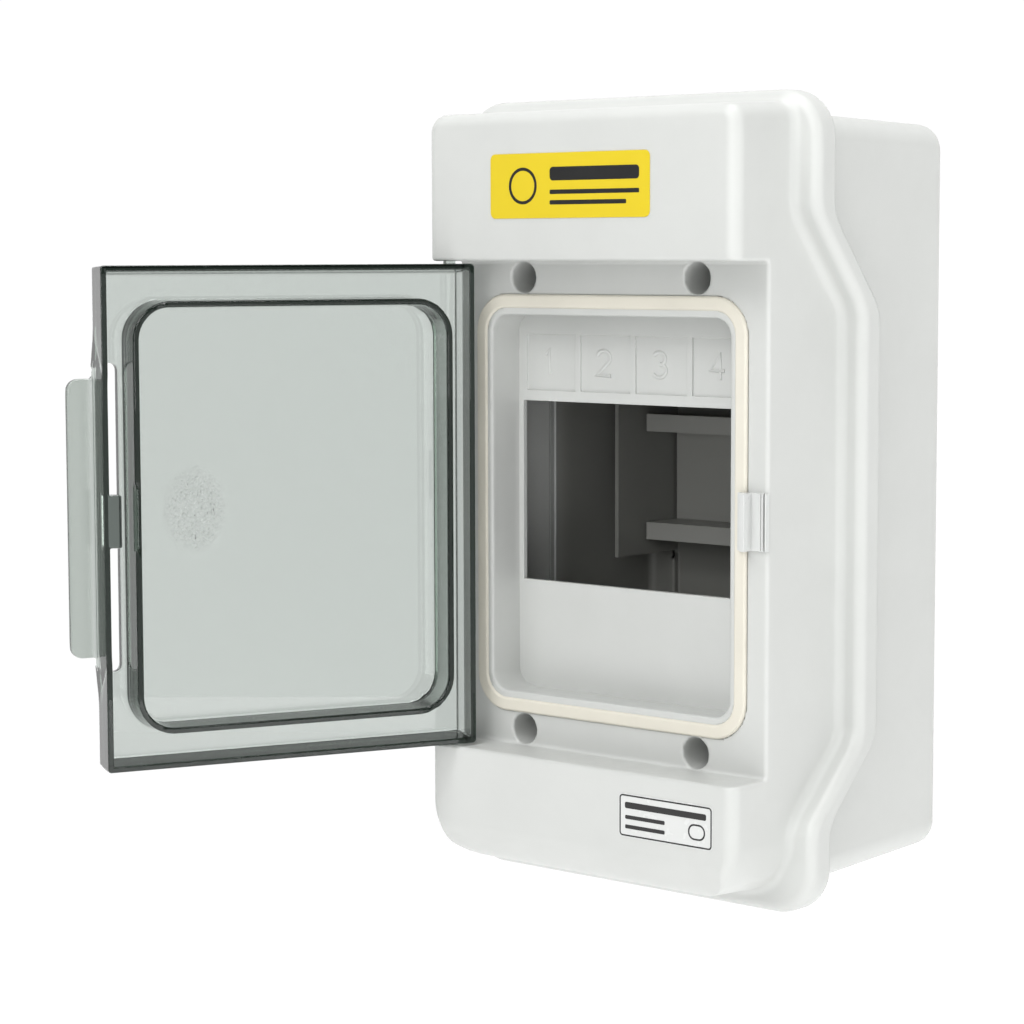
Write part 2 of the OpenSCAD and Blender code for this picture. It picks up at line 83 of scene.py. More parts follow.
# The back box: its rim in the flange's groove, and score lines around its knock-outs.
BOX_HALF = (48.8, 95.3)
BOX_DRAFT, BOX_R, BOX_BACK_R, BOX_IN_R, BOX_T = 0.02, 7.0, 4.2, 2.0, 2.4
RIM_IN = 1.7
KNOCK_OUT_X, KNOCK_OUT_Y, KNOCK_OUT_R = 21.0, -31.0, 10.5
SCORE_HALF_W, SCORE_D = 0.5, 0.9
PILLAR_R, PILLAR_GAP, INSERT_R, INSERT_L = 4.8, 0.3, 2.82, 11.0
RIB_X, RIB_Z, RIB_H, RIB_HALF_T = 37.6, (22.3, 41.7), 2.0, 0.6
FIX_HALF, FIX_R, HOLE_EDGE_R = (35.0, 80.0), 2.6, 0.3
# Bosses on the back wall as (radius, height, x, z), and their screw holes as (radius, x, z).
WALL_BOSSES = ((5.2, 3.0, *FIX_HALF), (4.0, 6.0, 0.0, 24.0), (2.9, 6.0, 42.3, 14.0), (3.2, 4.0, 23.4, 78.0))
BOSS_HOLES = ((1.5, 0.0, 24.0), (1.3, 42.3, 14.0), (1.3, 23.4, 78.0))
BOSS_FILLET, BOSS_HOLE_FLOOR = 0.6, 0.4

# The well in the recess, and its floor with the window and the sunk, numbered way fields.
WELL_HALF, WELL_R, WELL_T, WELL_EDGE_R = (38.6, 49.3), 4.8, 2.2, 0.45
PANEL_X, PANEL_Y, PANEL_T = -0.5, RECESS_Y + 10.7, 1.5
WINDOW_X, WINDOW_Z = (-37.3, 36.3), (-24.0, 23.5)
WAYS, WAY_W, POCKET_Z, POCKET_RIB, POCKET_D = 4, 18.2, (26.3, 41.0), 1.7, 0.6
NUMBER_X, NUMBER_Z, NUMBER_HALF, NUMBER_LINE, NUMBER_RISE = -0.85, 0.2, 3.2, 1.05, 0.4

# The gasket around the well: its groove, the lip inside it, and the foam's swelling above the groove.
SEAL_OUT, SEAL_IN, SEAL_R = (43.4, 54.4), (40.3, 51.3), 9.5
SEAL_W = SEAL_OUT[0] - SEAL_IN[0]
SEAL_D, SEAL_PROUD, SEAL_EDGE_R = 1.8, 0.9, 0.1
LIP_PROUD, LIP_R = 0.4, 0.15
FOAM_FOOT, FOAM_NECK, FOAM_SWELL = 1.7, 0.5, 0.15
FOAM_HALF, FOAM_BULGE, FOAM_R = 1.52, 1.78, 0.45

# The deep tubes of the cover's screws.
SCREW_X, SCREW_Z, SCREW_HOLE_R = 28.0, (56.0, -62.0), 2.3
TUBE_R, BORE_R, TUBE_END_Y, TUBE_FLOOR, TUBE_MOUTH_R = 5.4, 4.0, -52.0, 2.5, 0.35

# The catch, as points of x and of y from the recess's floor.
CATCH_Z, CATCH_GAP = (-10.0, 4.2), 0.5
CATCH_OUTLINE = (
    (42.0, -1.2), (42.0, -2.0), (44.0, -2.0), (44.2, -4.2), (45.6, -4.2), (45.6, -1.0), (48.2, -1.0),
    (48.2, -0.4), (48.8, -0.4), (48.8, -1.6), (49.3, -1.6), (49.3, -0.6), (49.8, -0.6), (49.8, -1.5),
    (50.2, -1.5), (50.2, 0), (44.2, 0), (44.2, -1.2))

# The door as it stands when closed: a tray whose walls flare and get thinner toward their rims.
DOOR_OPEN = 114.0
HINGE = Vector((-45.4, RECESS_Y - 9.3, 0.0))
PIN_R, PIN_L, PIN_END_R, PIN_FILLET, PIN_FIT, SOCKET_L = 1.6, 4.2, 0.4, 0.2, 0.05, 4.6
DOOR_X, DOOR_HALF = (-49.3, 49.6), 62.05
DOOR_OUT_Y = RECESS_Y - 12.4
DOOR_RIM_Y = DOOR_OUT_Y + 10.4
DOOR_T, DOOR_WALL, DOOR_CORNER_R, DOOR_EDGE_R, DOOR_IN_R = 2.4, 2.0, 1.0, 0.25, 0.5
DOOR_FLARE, WALL_THIN = (0.9, 0.5), 0.5
# The sprung edge bows outward along the slot that frees it, and ends in a finger handle.
SLOT_X, SLOT_HALF, SLOT_END_R, SLOT_EDGE_R = (44.2, 48.6), 38.5, 1.8, 0.2
BOW, BOW_PAST_SLOT, BOW_RUN = 1.0, 10.0, 16.0
TOOTH_X, TOOTH_Z, TOOTH_H, TOOTH_ROOT, TOOTH_END_R = 46.0, (-9.7, 3.4), 3.4, 1.2, 0.2
HANDLE_X, HANDLE_HALF, HANDLE_T, HANDLE_R, HANDLE_ROOT = 57.0, 34.7, 2.2, 3.0, 20.0
HANDLE_EDGE_R, HANDLE_FILLET = 0.6, 0.5
# The ring inside it presses the gasket, and is notched to pass the catch.
RING_C, RING_R, RING_Y = (42.0, 53.0), 9.0, RECESS_Y - 1.25
RING_HALF_T, RING_TAPER, RING_EDGE_R, RING_FILLET = 1.1, 0.35, 0.2, 0.3
NOTCH_IN, NOTCH_D = 0.2, 1.4


# ---------------------------------------------------------------- distance fields
def rounded(u, v, hu, hv, r):
    """Distance to a rectangle of half sizes hu, hv with corners of radius r."""
    du, dv = np.abs(u) - hu + r, np.abs(v) - hv + r
    return np.hypot(np.maximum(du, 0), np.maximum(dv, 0)) + np.minimum(np.maximum(du, dv), 0) - r


def between(v, lo, hi):
    """Distance to the slab from lo to hi."""
    return np.maximum(lo - v, v - hi)


def common(a, b, r=0.0):
    """Intersection, its edge rounded to radius r."""
    if not r:
        return np.maximum(a, b)
    return np.hypot(np.maximum(a + r, 0), np.maximum(b + r, 0)) + np.minimum(np.maximum(a, b), -r)


def joined(a, b, r=0.0):
    """Union, its inside corner filled to radius r."""
    return -common(-a, -b, r)


def less(a, b, r=0.0):
    """What is left of a without b, its edge rounded to radius r."""
    return common(a, -b, r)


def wave(z):
    """Front y of the flange at height z, with its bends rounded, and the slope's correction."""
    def ramp(t, start, end):
        s = (t - start) / (end - start)
        soft = BEND_R / abs(end - start) / 2
        lower = np.where(np.abs(s) < soft, (s + soft) ** 2 / (4 * soft), np.maximum(s, 0))
        q = lower - 1
        return np.where(np.abs(q) < soft, 1 - (soft - q) ** 2 / (4 * soft), np.minimum(lower, 1))

    def height(t):
        s = ramp(t, *BENDS_TOP) * ramp(t, *BENDS_BOTTOM)
        return FLANGE_END_Y + (FLANGE_MID_Y - FLANGE_END_Y) * s

    step = 0.05
    slope = (height(z + step) - height(z - step)) / (2 * step)
    return height(z), np.sqrt(1 + slope * slope)


def cover_form(x, y, z, t=0.0):
    """The cover's outside without its flange and recess, t inside the surface."""
    back = y - FRONT_Y
    side = np.abs(x) - (COVER_W + SIDE_DRAFT * back)
    top = z - (COVER_TOP + TOP_RISE * back)
    bottom = -z - (COVER_BOTTOM + BOTTOM_FALL * back)
    slope = (side + bottom + CHAMFER) * math.sqrt(0.5)
    outline = common(side, top, CORNER_R)
    outline = np.maximum(outline, common(np.maximum(side, bottom), slope, CHAMFER_R))
    form = common(outline, -back, EDGE_R)
    return np.maximum(form, common(bottom, -back, CHIN_R)) + t


def cover_field(x, y, z):
    """The cover with its flange, recess, well and screw tubes."""
    front, tilt = wave(z)
    rz = z - RECESS_Z
    hollow = common(np.abs(rz) - RECESS_HALF, y - RECESS_Y, RECESS_FLOOR_R)
    form = less(cover_form(x, y, z), hollow, SHOULDER_R)
    wall = np.maximum(form, (y - front - WALL_LAP) / tilt)
    bead = common(rounded(x, z, *FLANGE_HALF, FLANGE_R), (front - y) / tilt, FLANGE_FRONT_R)
    bead = common(bead, (y - front - FLANGE_T) / tilt, FLANGE_BACK_R)
    d = joined(wall, bead, FLANGE_FILLET)
    cavity = np.maximum(cover_form(x, y, z, COVER_T), -(hollow - COVER_T))
    d = np.maximum(d, -cavity)
    groove = np.maximum(rounded(x, z, *GROOVE_HALF, BOX_R), (front + FLANGE_T - GROOVE_D - y) / tilt)
    d = np.maximum(d, -groove)
    # the well, its raised lip and the gasket's groove
    panel_back = PANEL_Y + PANEL_T
    well = rounded(x, rz, *WELL_HALF, WELL_R)
    well_wall = np.abs(well - WELL_T / 2) - WELL_T / 2
    d = np.minimum(d, np.maximum(well_wall, between(y, RECESS_Y + OVERLAP / 2, panel_back)))
    inner = rounded(x, rz, *SEAL_IN, SEAL_R - SEAL_W)
    d = np.minimum(d, common(inner, np.abs(y - RECESS_Y) - LIP_PROUD, LIP_R))
    d = less(d, np.maximum(well, y - panel_back - OVERLAP), WELL_EDGE_R)
    seat = np.maximum(rounded(x, rz, *SEAL_OUT, SEAL_R), -inner)
    d = less(d, np.maximum(seat, y - RECESS_Y - SEAL_D), SEAL_EDGE_R)
    # the screw tubes and the sockets of the hinge pins
    for screw_z in SCREW_Z:
        axis = np.hypot(np.abs(x) - SCREW_X, z - screw_z)
        d = np.minimum(d, np.maximum(axis - TUBE_R, between(y, RECESS_Y + OVERLAP, TUBE_END_Y)))
        d = less(d, np.maximum(axis - BORE_R, y - TUBE_END_Y + TUBE_FLOOR), TUBE_MOUTH_R)
        d = np.maximum(d, SCREW_HOLE_R - axis)
    socket = np.hypot(x - HINGE.x, y - HINGE.y) - PIN_R - PIN_FIT
    return np.maximum(d, -np.maximum(socket, np.abs(rz) - RECESS_HALF - SOCKET_L))


def box_field(x, y, z):
    """The back box with its knock-outs, pillars, bosses, ribs and holes."""
    front, tilt = wave(z)
    outline = rounded(x, z, BOX_HALF[0] - BOX_DRAFT * y, BOX_HALF[1] - BOX_DRAFT * y, BOX_R)
    d = common(outline, y, BOX_BACK_R)
    d = np.maximum(d, (front + FLANGE_T - RIM_IN - y) / tilt)
    d = np.maximum(d, -common(outline + BOX_T, y + BOX_T, BOX_IN_R))
    score = np.hypot(np.abs(x) - KNOCK_OUT_X, y - KNOCK_OUT_Y) - KNOCK_OUT_R
    score = np.abs(score) - SCORE_HALF_W
    d = less(d, np.maximum(score, -(outline + SCORE_D)), HOLE_EDGE_R)
    for screw_z in SCREW_Z:
        axis = np.hypot(np.abs(x) - SCREW_X, z - screw_z)
        d = np.minimum(d, np.maximum(axis - PILLAR_R, between(y, TUBE_END_Y + PILLAR_GAP, -OVERLAP)))
        d = np.maximum(d, -np.maximum(axis - INSERT_R, y - TUBE_END_Y - INSERT_L))
    for r, h, boss_x, boss_z in WALL_BOSSES:
        axis = np.hypot(np.abs(x) - boss_x, np.abs(z) - boss_z)
        d = joined(d, np.maximum(axis - r, between(y, -BOX_T - h, -OVERLAP)), BOSS_FILLET)
    rib = np.maximum(np.abs(np.abs(x) - RIB_X) - RIB_HALF_T, between(np.abs(z), *RIB_Z))
    d = np.minimum(d, np.maximum(rib, between(y, -BOX_T - RIB_H, -OVERLAP)))
    fixing = np.hypot(np.abs(x) - FIX_HALF[0], np.abs(z) - FIX_HALF[1])
    d = less(d, fixing - FIX_R, HOLE_EDGE_R)
    for r, hole_x, hole_z in BOSS_HOLES:
        axis = np.hypot(np.abs(x) - hole_x, np.abs(z) - hole_z)
        d = np.maximum(d, -np.maximum(axis - r, y + BOX_T + BOSS_HOLE_FLOOR))
    return d


def door_field(x, y, z):
    """The door as it stands when closed."""
    rz = z - RECESS_Z
    # the tray, with its bowed edge and flared walls
    ramp = np.clip((SLOT_HALF + BOW_PAST_SLOT - np.abs(rz)) / BOW_RUN, 0, 1)
    deep = np.clip((y - DOOR_OUT_Y) / (DOOR_RIM_Y - DOOR_OUT_Y), 0, 1)
    bow = np.maximum(BOW * ramp * ramp * (3 - 2 * ramp), DOOR_FLARE[0] * deep)
    mid, half = (DOOR_X[0] + DOOR_X[1] + BOW) / 2, (DOOR_X[1] - DOOR_X[0] + BOW) / 2
    outline = rounded(x - mid, rz, half, DOOR_HALF + DOOR_FLARE[1] * deep, DOOR_CORNER_R)
    outline = np.maximum(outline, x - DOOR_X[1] - bow)
    inside = outline + DOOR_WALL - WALL_THIN * deep
    d = common(outline, between(y, DOOR_OUT_Y, DOOR_RIM_Y), DOOR_EDGE_R)
    d = less(d, common(inside, DOOR_OUT_Y + DOOR_T - y, DOOR_IN_R), DOOR_EDGE_R)
    slot_mid, slot_half_w = (SLOT_X[0] + SLOT_X[1]) / 2, (SLOT_X[1] - SLOT_X[0]) / 2
    slot = rounded(x - slot_mid, rz, slot_half_w, SLOT_HALF, SLOT_END_R)
    d = less(d, np.maximum(slot, y - DOOR_OUT_Y - DOOR_T - OVERLAP / 2), SLOT_EDGE_R)
    # the ring inside it, with the notch for the catch
    band = np.abs(rounded(x, rz, *RING_C, RING_R)) - RING_HALF_T + RING_TAPER * deep
    ring = common(band, between(y, DOOR_OUT_Y + OVERLAP, RING_Y), RING_EDGE_R)
    notch = between(z, CATCH_Z[0] - CATCH_GAP, CATCH_Z[1] + CATCH_GAP)
    notch = np.maximum(notch, np.maximum(RING_C[0] - NOTCH_IN - x, RING_Y - NOTCH_D - y))
    d = joined(d, less(ring, notch, RING_EDGE_R), RING_FILLET)
    # the tooth, the handle and the hinge pins
    tooth = common(between(x, TOOTH_X, SLOT_X[1] + TOOTH_ROOT),
                   between(y, DOOR_RIM_Y - TOOTH_H, DOOR_RIM_Y), DOOR_EDGE_R)
    d = np.minimum(d, common(tooth, between(z, *TOOTH_Z), TOOTH_END_R))
    handle = rounded(x - HANDLE_X + HANDLE_ROOT, rz, HANDLE_ROOT, HANDLE_HALF, HANDLE_R)
    handle = np.maximum(handle, DOOR_X[1] + BOW - OVERLAP - x)
    handle = common(handle, between(y, DOOR_OUT_Y, DOOR_OUT_Y + HANDLE_T), HANDLE_EDGE_R)
    d = joined(d, handle, HANDLE_FILLET)
    pin = np.hypot(x - HINGE.x, y - HINGE.y) - PIN_R
    pin = common(pin, between(np.abs(rz), DOOR_HALF - OVERLAP, DOOR_HALF + PIN_L), PIN_END_R)
    return joined(d, pin, PIN_FILLET)


# ---------------------------------------------------------------- meshes
def ruler(lo, hi, step, *dense):
    """Grid lines from lo to hi, a step apart, closer together in each (from, to, step)."""
    marks = sorted({lo, hi, *(m for a, b, _ in dense for m in (a, b) if lo < m < hi)})
    lines = [lo]
    for a, b in zip(marks, marks[1:]):
        fine = min([step] + [s for p, q, s in dense if p <= (a + b) / 2 <= q])
        lines += list(np.linspace(a, b, max(1, math.ceil((b - a) / fine - 1e-6)) + 1)[1:])
    return np.array(lines)


def mirrored(lo, hi, step, *dense):
    """Grid lines on both sides of 0."""
    half = ruler(lo, hi, step, *dense)
    return np.concatenate([-half[:0:-1], half])


def contour(field, xs, ys, zs):
    """Points, normals and faces of the field's zero surface, by surface nets on a grid of lines.

    Each grid cell that the surface crosses gets one point, the mean of where its edges are cut. The
    points are then moved onto the surface along the field's slope.
    """
    # how often and how far a point moves, and the distances that slopes are taken over
    rounds, furthest, least_slope = 3, 0.5, 0.25
    slope_step, normal_step = 0.02, 0.12
    f = field(xs[:, None, None], ys[None, :, None], zs[None, None, :])
    f = np.broadcast_to(f, (len(xs), len(ys), len(zs)))
    solid = (f < 0).astype(np.int8)
    count = solid
    for axis in range(3):
        n = count.shape[axis] - 1
        count = np.take(count, range(n), axis) + np.take(count, range(1, n + 1), axis)
    cells = np.argwhere((count > 0) & (count < 8))
    number = np.full(count.shape, -1, np.int32)
    number[tuple(cells.T)] = np.arange(len(cells))
    grid = (xs, ys, zs)
    total, hits = np.zeros((len(cells), 3)), np.zeros(len(cells))
    corners = [(i, j, k) for i in (0, 1) for j in (0, 1) for k in (0, 1)]
    for a in corners:
        for axis in range(3):
            if a[axis]:
                continue
            b = tuple(1 if n == axis else v for n, v in enumerate(a))
            ca, cb = cells + a, cells + b
            va, vb = f[tuple(ca.T)], f[tuple(cb.T)]
            cut = (va < 0) != (vb < 0)
            t = np.where(cut, va / np.where(cut, va - vb, 1), 0)
            pa = np.stack([grid[n][ca[:, n]] for n in range(3)], 1)
            pb = np.stack([grid[n][cb[:, n]] for n in range(3)], 1)
            total += np.where(cut, 1, 0)[:, None] * (pa + (pb - pa) * t[:, None])
            hits += cut
    points = total / hits[:, None]
    faces = []
    for axis in range(3):
        p, q = (axis + 1) % 3, (axis + 2) % 3
        n = f.shape[axis] - 1
        low, high = np.take(solid, range(n), axis), np.take(solid, range(1, n + 1), axis)
        edges = np.argwhere(low != high)
        edges = edges[(edges[:, p] > 0) & (edges[:, q] > 0)]
        edges = edges[(edges[:, p] < f.shape[p] - 1) & (edges[:, q] < f.shape[q] - 1)]
        quad = []
        for dp, dq in ((1, 1), (0, 1), (0, 0), (1, 0)):
            shift = np.zeros(3, int)
            shift[p], shift[q] = dp, dq
            quad.append(number[tuple((edges - shift).T)])
        quad = np.stack(quad, 1)
        leaving = low[tuple(edges.T)] > 0
        quad[~leaving] = quad[~leaving][:, ::-1]
        faces.append(quad)

    def gradient(p, step):
        g = np.empty_like(p)
        for n in range(3):
            d = np.zeros(3)
            d[n] = step
            g[:, n] = field(*(p + d).T) - field(*(p - d).T)
        return g / (2 * step)

    for _ in range(rounds):
        g = gradient(points, slope_step)
        move = field(*points.T)[:, None] * g / np.maximum((g * g).sum(1), least_slope)[:, None]
        points = points - np.clip(move, -furthest, furthest)
    normals = gradient(points, normal_step)
    normals /= np.maximum(np.linalg.norm(normals, axis=1), 1e-9)[:, None]
    return points, normals, np.concatenate(faces)


def place(name, mesh, body, material, replaces=()):
    """Adds a mesh as a piece that rides on a body."""
    obj = bpy.data.objects.new(name, mesh)
    bpy.context.scene.collection.objects.link(obj)
    obj.data.materials.append(material)
    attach(obj, body)
    if replaces:
        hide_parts(*replaces)
    return obj


def field_mesh(name, field, xs, ys, zs, turn=None):
    """Mesh of a field's solid, turned by a (matrix, pivot) if there is one."""
    points, normals, faces = contour(field, xs, ys, zs)
    if turn is not None:
        matrix, pivot = turn
        points = (points - pivot) @ matrix.T + pivot
        normals = normals @ matrix.T
    mesh = bpy.data.meshes.new(name)
    mesh.from_pydata((points * MM).tolist(), [], faces.tolist())
    mesh.polygons.foreach_set("use_smooth", [True] * len(mesh.polygons))
    mesh.normals_split_custom_set_from_vertices(normals.tolist())
    return mesh


def from_bmesh(name, bm, smooth=False):
    """Mesh with its faces turned outward; the bmesh is freed."""
    bmesh.ops.recalc_face_normals(bm, faces=bm.faces)
    mesh = bpy.data.meshes.new(name)
    bm.to_mesh(mesh)
    bm.free()
    mesh.polygons.foreach_set("use_smooth", [smooth] * len(mesh.polygons))
    return mesh


def add_bevel(obj, width, segments=2, angle=35):
    """Modifier that rounds the edges sharper than the angle."""
    mod = obj.modifiers.new("edges", "BEVEL")
    mod.width, mod.segments = width * MM, segments
    mod.limit_method, mod.angle_limit = "ANGLE", math.radians(angle)
    return mod


def bevel(obj, width, segments=2):
    """Rounds a new piece's edges and shades it smooth between them."""
    add_bevel(obj, width, segments).harden_normals = True
    obj.data.polygons.foreach_set("use_smooth", [True] * len(obj.data.polygons))


def rounded_path(half, r, steps=10):
    """Points and outward directions round a rounded rectangle in x and z."""
    out = []
    for n, (sx, sz) in enumerate(((1, 1), (-1, 1), (-1, -1), (1, -1))):
        for k in range(steps + 1):
            a = math.radians(90 * (n + k / steps))
            d = (math.cos(a), math.sin(a))
            out.append(((sx * (half[0] - r) + r * d[0], sz * (half[1] - r) + r * d[1]), d))
    return out


def ring_mesh(name, half, r, profile, centre):
    """Sweeps a closed profile of (outward, y) points round a rounded rectangle."""
    bm = bmesh.new()
    loops = []
    for (px, pz), (dx, dz) in rounded_path(half, r):
        loops.append([bm.verts.new(((px + dx * o + centre[0]) * MM, y * MM, (pz + dz * o + centre[1]) * MM))
                      for o, y in profile])
    for a, b in zip(loops, loops[1:] + loops[:1]):
        for i in range(len(profile)):
            j = (i + 1) % len(profile)
            bm.faces.new((a[i], a[j], b[j], b[i]))
    return from_bmesh(name, bm, smooth=True)


def prism_mesh(name, ends):
    """Solid between two outlines with matching points."""
    bm = bmesh.new()
    ends = [[bm.verts.new((x * MM, y * MM, z * MM)) for x, y, z in end] for end in ends]
    for end in ends:
        bm.faces.new(end)
    for i in range(len(ends[0])):
        j = (i + 1) % len(ends[0])
        bm.faces.new((ends[0][i], ends[0][j], ends[1][j], ends[1][i]))
    return from_bmesh(name, bm)


def plate_mesh(name, centre, half, r, y0, y1):
    """Flat plate with round corners, from y0 to y1."""
    path = [(px + centre[0], pz + centre[1]) for (px, pz), _ in rounded_path(half, r, 6)]
    return prism_mesh(name, [[(px, y, pz) for px, pz in path] for y in (y0, y1)])


def panel_mesh():
    """Floor of the well, with the window and the sunk way fields, made cell by cell on a grid."""
    edge = 0.3    # how far it runs into the well's walls
    xs = {-WELL_HALF[0] - edge, WELL_HALF[0] + edge, *WINDOW_X}
    for i in range(WAYS):
        xs |= {way_edges(i)[0], way_edges(i)[1]}
    xs = sorted(xs)
    low, high = RECESS_Z - WELL_HALF[1] - edge, RECESS_Z + WELL_HALF[1] + edge
    zs = [low, *WINDOW_Z, *POCKET_Z, high]
    bm = bmesh.new()
    made = {}

    def vert(x, y, z):
        key = (round(x, 4), round(y, 4), round(z, 4))
        if key not in made:
            made[key] = bm.verts.new((x * MM, y * MM, z * MM))
        return made[key]

    def depth(i, j):
        """Front y of the panel in a grid cell, or None in the window."""
        if not (0 <= i < len(xs) - 1 and 0 <= j < len(zs) - 1):
            return None
        x, z = (xs[i] + xs[i + 1]) / 2, (zs[j] + zs[j + 1]) / 2
        if WINDOW_X[0] < x < WINDOW_X[1] and WINDOW_Z[0] < z < WINDOW_Z[1]:
            return None
        sunk = POCKET_Z[0] < z < POCKET_Z[1] and any(a < x < b for a, b in map(way_edges, range(WAYS)))
        return PANEL_Y + (POCKET_D if sunk else 0)

    back = PANEL_Y + PANEL_T
    for i in range(len(xs) - 1):
        for j in range(len(zs) - 1):
            y = depth(i, j)
            if y is None:
                continue
            box = [(xs[i], zs[j]), (xs[i + 1], zs[j]), (xs[i + 1], zs[j + 1]), (xs[i], zs[j + 1])]
            bm.faces.new([vert(px, y, pz) for px, pz in box])
            bm.faces.new([vert(px, back, pz) for px, pz in reversed(box)])
            for n, (di, dj) in enumerate(((0, -1), (1, 0), (0, 1), (-1, 0))):
                other = depth(i + di, j + dj)
                other = back if other is None else other
                if other > y + 1e-6:
                    (ax, az), (bx, bz) = box[n], box[(n + 1) % 4]
                    bm.faces.new([vert(ax, y, az), vert(bx, y, bz), vert(bx, other, bz), vert(ax, other, az)])
    return from_bmesh("way_panel", bm)


def way_edges(i):
    """Left and right x of a sunk way field."""
    left = PANEL_X + (i - WAYS / 2) * WAY_W
    return left + POCKET_RIB / 2, left + WAY_W - POCKET_RIB / 2


def arc(cx, cy, rx, ry, a, b, steps=14):
    """Points of an ellipse from angle a to b, in degrees."""
    return [(cx + rx * math.cos(math.radians(t)), cy + ry * math.sin(math.radians(t)))
            for t in np.linspace(a, b, steps)]


def digit_strokes(n, h=NUMBER_HALF):
    """Lines of a plain sans digit of half height h, about its centre."""
    if n == 1:
        return [[(-1.3, h - 1.3), (0, h), (0, -h)]]
    if n == 2:
        return [arc(0, h - 1.85, 2.2, 1.85, 165, -40) + [(-2.35, -h), (2.4, -h)]]
    if n == 3:
        return [arc(-0.1, h - 1.6, 1.95, 1.6, 150, -85), arc(-0.1, -h + 1.75, 2.25, 1.75, 85, -150)]
    return [[(1.0, -h), (1.0, h), (-2.2, -1.0), (2.3, -1.0)]]


def stroke_mesh(name, lines, centre, y, width, rise):
    """Raised strokes with a half-round section."""
    curve = bpy.data.curves.new(name, "CURVE")
    curve.dimensions = "3D"
    curve.bevel_depth, curve.bevel_resolution, curve.use_fill_caps = width / 2 * MM, 3, True
    for line in lines:
        spline = curve.splines.new("POLY")
        spline.points.add(len(line) - 1)
        for point, (px, pz) in zip(spline.points, line):
            point.co = ((centre[0] + px) * MM, 0, (centre[1] + pz) * MM, 1)
    holder = bpy.data.objects.new(name, curve)
    mesh = bpy.data.meshes.new_from_object(holder)
    bpy.data.objects.remove(holder)
    squeeze = Matrix.Translation((0, y * MM, 0)) @ Matrix.Diagonal((1, rise / (width / 2), 1, 1))
    mesh.transform(squeeze)
    mesh.polygons.foreach_set("use_smooth", [True] * len(mesh.polygons))
    return mesh


# ---------------------------------------------------------------- materials
# Noise textures as (scale, detail), and their middle range, which a material stretches over its own.
CLOUD, GLOSS, GLOSS_RANGE = (45, 4), (320, 3), (-0.04, 0.05)
GRAIN_DETAIL, GRAIN_HEIGHT = 2, 0.00006
NOISE_ROUGHNESS, NOISE_MIDDLE = 0.55, (0.3, 0.7)
# Painted shade inside the box, each as (where it starts, where it is complete), in millimetres from the
# middle:
# sideways, up or down, across a corner, and at the back and the front.
INSIDE_X, INSIDE_Z, INSIDE_CORNER = (47.7, 47.5), (94.3, 94.1), (138.3, 138.0)
INSIDE_BACK, INSIDE_FRONT = (1.2, 1.4), (62.0, 36.0)
# The door's plastic: what it absorbs, its wall ends painted dark as painted shade, its finely textured handle
# tinted darker as painted shade, and its gate mark.
SMOKE_IOR, SMOKE_TINT, SMOKE_DENSITY = 1.49, (0.398, 0.462, 0.42), 435
# painted shade: the colour of the door's wall ends, seen edge-on
SMOKE_ENDS_SHADE, ENDS_DEPTH, ENDS_BLEND = (0.10, 0.112, 0.108), 0.2, 0.12
# painted shade: the handle's darker tint
GRIP_SHADE_TINT, GRIP_START, GRIP_BLEND = (0.78, 0.80, 0.78), 1.6, 0.3
MATT_ROUGHNESS = 0.16
GATE_FROM_HINGE, GATE_UP, GATE_R, GATE_BLEND, GATE_STRETCH = 69.6, 1.0, 9.5, 4.0, (1, 1, 0.75)
CRACKLE_SCALE, CRACKLE_HEIGHT = 1000, 0.00045


def new_material(name):
    mat = bpy.data.materials.new(name)
    mat.use_nodes = True
    nodes, links = mat.node_tree.nodes, mat.node_tree.links
    return mat, nodes, links, nodes["Principled BSDF"]


def noise(nodes, links, scale, detail):
    """A noise texture's value on the object's own coordinates."""
    coord = nodes.new("ShaderNodeTexCoord")
    tex = nodes.new("ShaderNodeTexNoise")
    tex.inputs["Scale"].default_value = scale
    tex.inputs["Detail"].default_value = detail
    tex.inputs["Roughness"].default_value = NOISE_ROUGHNESS
    links.new(coord.outputs["Object"], tex.inputs["Vector"])
    return tex.outputs["Fac"]


def ranged(nodes, links, source, span, to=(0, 1), smooth=False):
    """Maps a value's span to another range, and holds it there beyond the ends."""
    node = nodes.new("ShaderNodeMapRange")
    node.interpolation_type = "SMOOTHSTEP" if smooth else "LINEAR"
    node.inputs["From Min"].default_value, node.inputs["From Max"].default_value = span
    node.inputs["To Min"].default_value, node.inputs["To Max"].default_value = to
    links.new(source, node.inputs["Value"])
    return node.outputs["Result"]


def combined(nodes, links, operation, a, b):
    """Math on two values."""
    node = nodes.new("ShaderNodeMath")
    node.operation = operation
    links.new(a, node.inputs[0])
    links.new(b, node.inputs[1])
    return node.outputs["Value"]


def with_vector(nodes, links, operation, source, value=(0, 0, 0)):
    """Vector math on a vector and a fixed one."""
    node = nodes.new("ShaderNodeVectorMath")
    node.operation = operation
    node.inputs[1].default_value = value
    links.new(source, node.inputs[0])
    return node.outputs["Value" if operation in ("DOT_PRODUCT", "DISTANCE") else "Vector"]


def mixed(nodes, links, factor, a, b):
    """Colour from a, itself a colour or a node's, to the colour b."""
    node = nodes.new("ShaderNodeMix")
    node.data_type = "RGBA"
    if isinstance(a, tuple):
        node.inputs["A"].default_value = (*a, 1)
    else:
        links.new(a, node.inputs["A"])
    node.inputs["B"].default_value = (*b, 1)
    links.new(factor, node.inputs["Factor"])
    return node.outputs["Result"]


def relief(nodes, links, shader, height, distance, strength):
    """Gives the shader a bump from a value."""
    node = nodes.new("ShaderNodeBump")
    node.inputs["Strength"].default_value = strength
    node.inputs["Distance"].default_value = distance
    links.new(height, node.inputs["Height"])
    links.new(node.outputs["Normal"], shader.inputs["Normal"])


